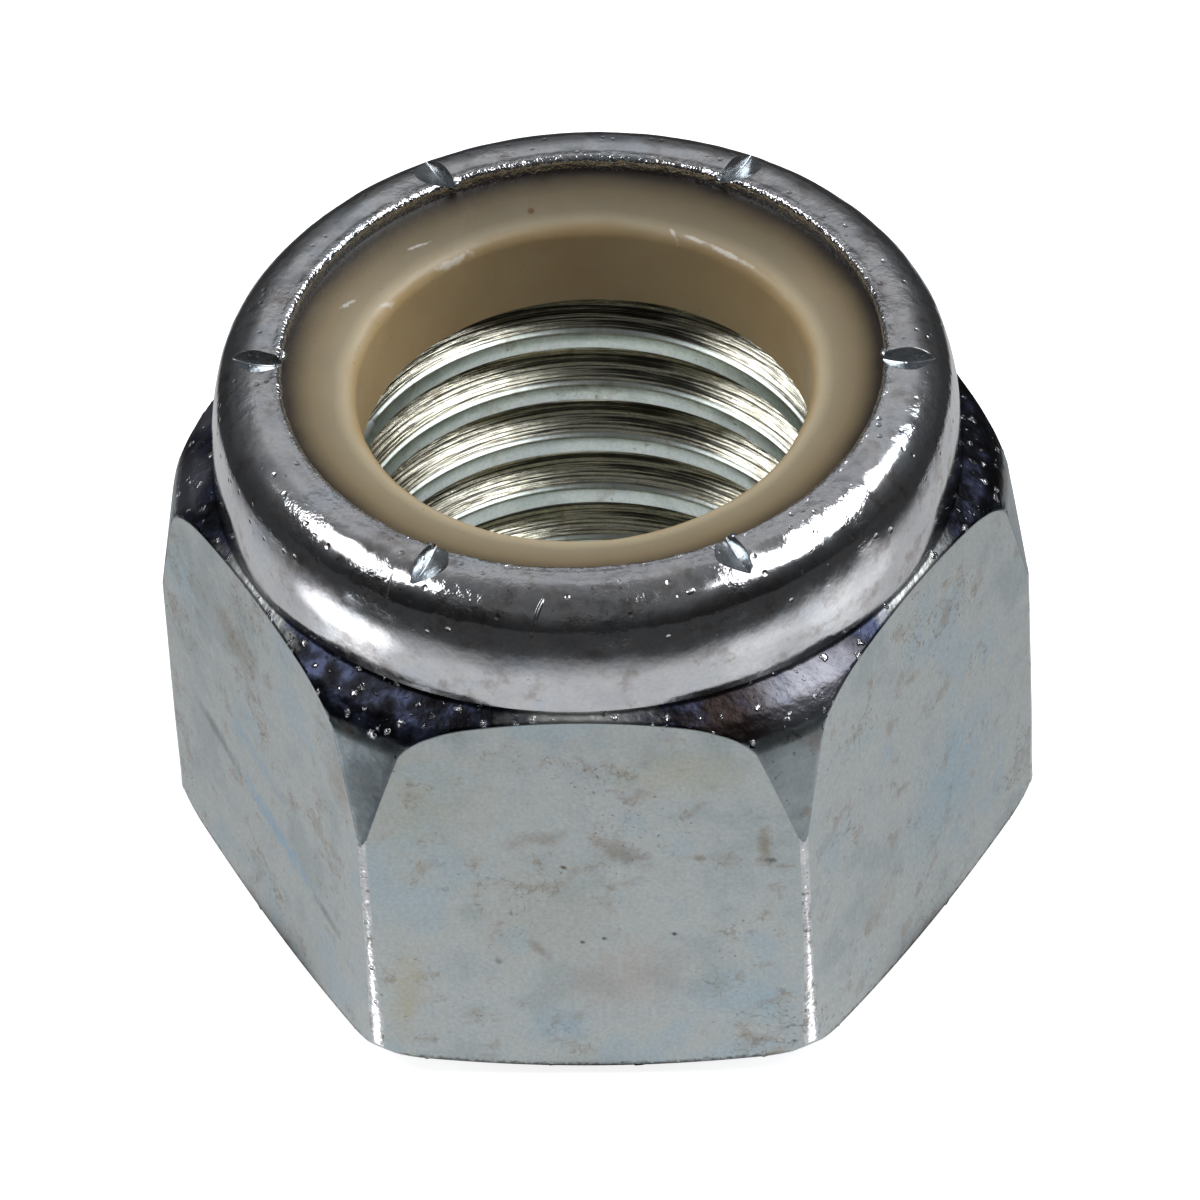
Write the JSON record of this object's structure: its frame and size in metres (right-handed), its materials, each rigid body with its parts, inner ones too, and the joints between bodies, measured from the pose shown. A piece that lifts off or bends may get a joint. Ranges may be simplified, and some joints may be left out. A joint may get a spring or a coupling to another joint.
{
  "type": "nylon insert lock nut",
  "caption": "Hexagon lock nut with a round crown whose rolled-in lip holds a nylon ring that grips the bolt's thread and stops it working loose.",
  "frame": {"origin": "middle of the flat bearing face under the nut, on the thread's axis", "axes": "+Z along the thread's axis from the bearing face to the crown; one flat faces -Y and two corner edges lie on the X axis"},
  "size_m": [0.031, 0.027, 0.0222],
  "materials": {
    "zinc_plated_steel": "bright zinc plate, slightly cloudy",
    "nylon": "satin, cream to tan"
  },
  "bodies": {
    "root": {"nut_body": "zinc_plated_steel", "nylon_ring": "nylon"}
  },
  "joints": []
}
